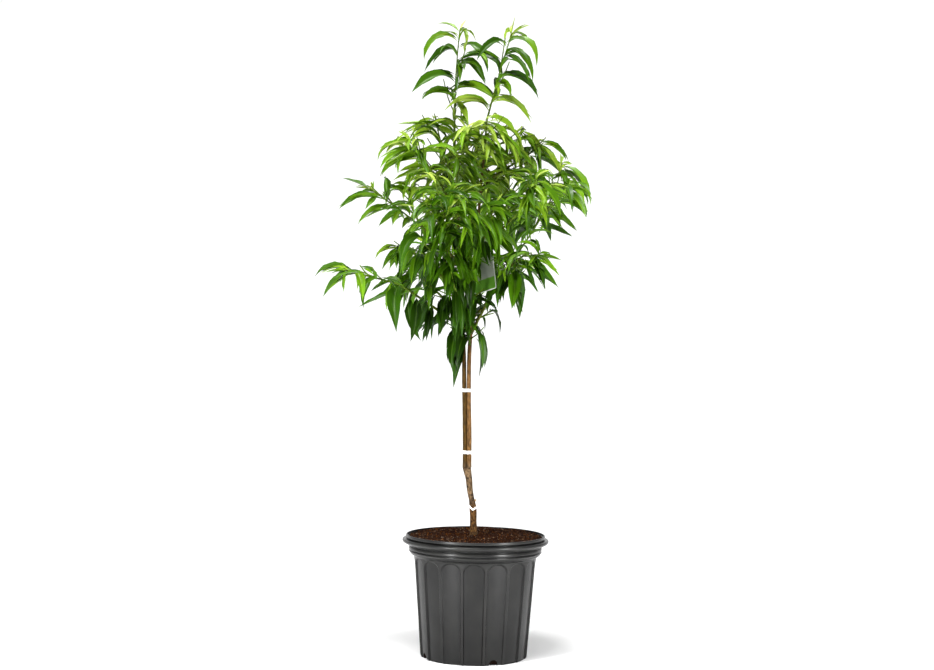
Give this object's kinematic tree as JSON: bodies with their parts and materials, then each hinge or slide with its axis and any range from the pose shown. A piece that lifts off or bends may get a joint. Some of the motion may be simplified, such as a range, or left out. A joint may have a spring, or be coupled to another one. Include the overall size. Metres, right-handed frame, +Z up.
{
  "type": "potted nectarine tree",
  "caption": "Young nectarine tree with twin tied stems and arching narrow leaves, in a round fluted nursery pot of potting mix.",
  "frame": {"origin": "centre of the pot's flat underside", "axes": "+Z up through the pot and the crown; -Y faces the viewer of the picture"},
  "size_m": [0.5339, 0.5166, 1.29],
  "materials": {
    "pot": "satin",
    "mix": "matte",
    "bark": "matte",
    "tape": "matte",
    "tag": "satin",
    "leaf": "satin"
  },
  "bodies": {
    "root": {"pot": "pot", "potting_mix": "mix", "trunk": "bark", "leader_left": "bark", "leader_right": "bark", "tie_lower": "tape", "tie_middle": "tape", "tie_upper": "tape", "tag": "tag", "bough_low_left": "bark", "bough_low_right": "bark", "bough_right_spur": "bark", "bough_right_front": "bark", "bough_mid_left": "bark", "bough_left_spur": "bark", "bough_high_left": "bark", "bough_front_centre": "bark", "bough_right_high": "bark", "bough_left_low": "bark", "bough_back_low_left": "bark", "bough_back_low_right": "bark", "bough_back_mid": "bark", "bough_back_mid_left": "bark", "bough_back_mid_right": "bark", "shoot_top_left": "leaf", "shoot_top_right": "leaf", "shoot_low_left": "leaf", "shoot_right_outer": "leaf", "shoot_right_low": "leaf", "shoot_right_front": "leaf", "shoot_far_left": "leaf", "shoot_left_up": "leaf", "shoot_high_left": "leaf", "shoot_left_top": "leaf", "shoot_front_left": "leaf", "shoot_front_centre": "leaf", "shoot_right_centre": "leaf", "shoot_front_top_left": "leaf", "shoot_front_top_right": "leaf", "shoot_right_top": "leaf", "shoot_right_high": "leaf", "shoot_left_low": "leaf", "shoot_left_mid": "leaf", "shoot_skirt_left": "leaf", "shoot_skirt_front": "leaf", "shoot_skirt_right": "leaf", "shoot_right_skirt": "leaf", "shoot_back_low_left": "leaf", "shoot_back_low_right": "leaf", "shoot_back_mid": "leaf", "shoot_back_mid_left": "leaf", "shoot_back_mid_right": "leaf", "shoot_back_high": "leaf", "shoot_back_high_left": "leaf", "shoot_back_high_right": "leaf", "shoot_front_low": "leaf", "shoot_front_right": "leaf"}
  },
  "joints": []
}
